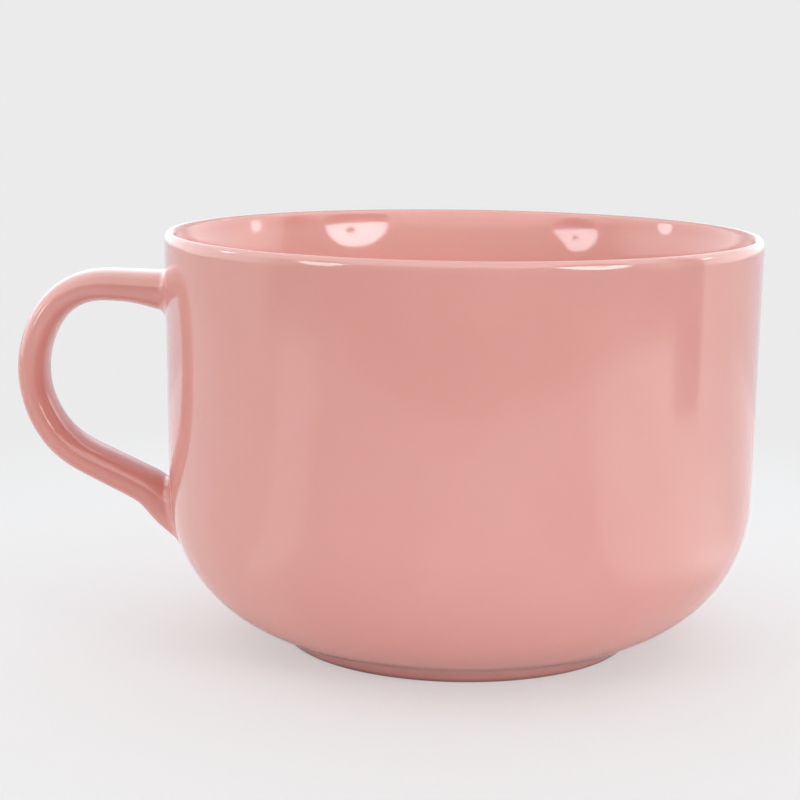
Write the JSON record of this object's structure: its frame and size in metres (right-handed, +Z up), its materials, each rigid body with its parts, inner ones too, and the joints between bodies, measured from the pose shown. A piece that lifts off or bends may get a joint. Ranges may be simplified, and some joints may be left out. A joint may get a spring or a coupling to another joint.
{
  "type": "soup mug",
  "caption": "Wide, deep soup mug: a near-vertical glazed wall on a large round, a low foot ring, a soft rolled lip and a D-shaped strap handle whose tail runs down the wall.",
  "frame": {"origin": "centre of the foot ring's standing face, on the table", "axes": "+Z up along the bowl's axis, the handle reaches out along -X, and Y runs across the handle"},
  "size_m": [0.1506, 0.12, 0.0834],
  "materials": {
    "glaze": "gloss",
    "bare_clay": "matte"
  },
  "bodies": {
    "root": {"bowl": "glaze", "foot_ring": "glaze", "handle": "glaze", "upper_joint": "glaze", "lower_joint": "glaze"}
  },
  "joints": []
}
